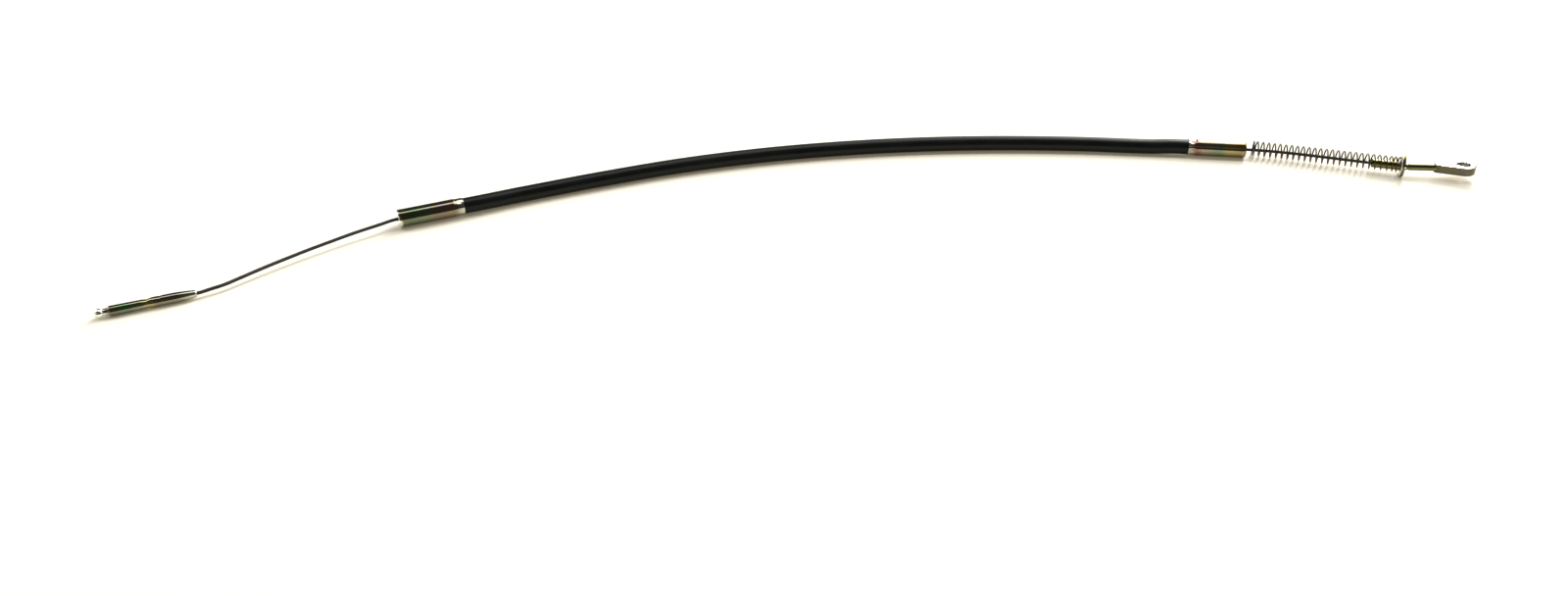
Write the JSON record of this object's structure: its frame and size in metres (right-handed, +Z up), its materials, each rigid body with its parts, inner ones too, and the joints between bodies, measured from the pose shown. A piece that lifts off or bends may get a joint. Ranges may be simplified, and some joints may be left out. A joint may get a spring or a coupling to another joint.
{
  "type": "door release cable",
  "caption": "Sheathed pull cable for a vehicle door latch: black curved casing with crimped metal ferrules, bare wire rope with a plug end, and a return spring, washer and eye end.",
  "frame": {"origin": "under the middle of the whole cable, on the plane that it lies on", "axes": "+X from the plug end towards the eye end, +Y towards the outside of the casing's bend, +Z up from the surface that it lies on"},
  "size_m": [0.4964, 0.131, 0.0092],
  "materials": {
    "black_plastic": "satin black",
    "pale_plastic": "natural",
    "conduit_steel": "drawn",
    "rope_steel": "dark oiled wire rope",
    "plated_steel": "zinc plated, yellow passivated",
    "spring_steel": "zinc plated, yellow passivated"
  },
  "bodies": {
    "casing": {"outer_jacket": "black_plastic", "steel_conduit": "conduit_steel", "liner_tube": "pale_plastic", "casing_cable": "rope_steel", "left_ferrule": "plated_steel", "right_ferrule": "plated_steel", "return_spring": "spring_steel", "right_cable": "rope_steel"},
    "left_end": {"left_cable": "rope_steel", "left_terminal": "plated_steel"},
    "right_end": {"spring_washer": "plated_steel", "right_terminal": "plated_steel"}
  },
  "joints": [
    {"name": "return_slide", "type": "slide", "parent": "casing", "child": "right_end", "axis": [-0.9511, 0.309, 0], "range_m": [0, 0.02], "stiffness_N_per_m": 300, "deforming": ["return_spring", "right_cable"]},
    {"name": "pull_slide", "type": "slide", "parent": "casing", "child": "left_end", "axis": [-0.91, -0.4147, 0], "range_m": [0, 0.02]}
  ],
  "couplings": [
    {"joint": "pull_slide", "follows": "return_slide", "ratio": 1}
  ]
}
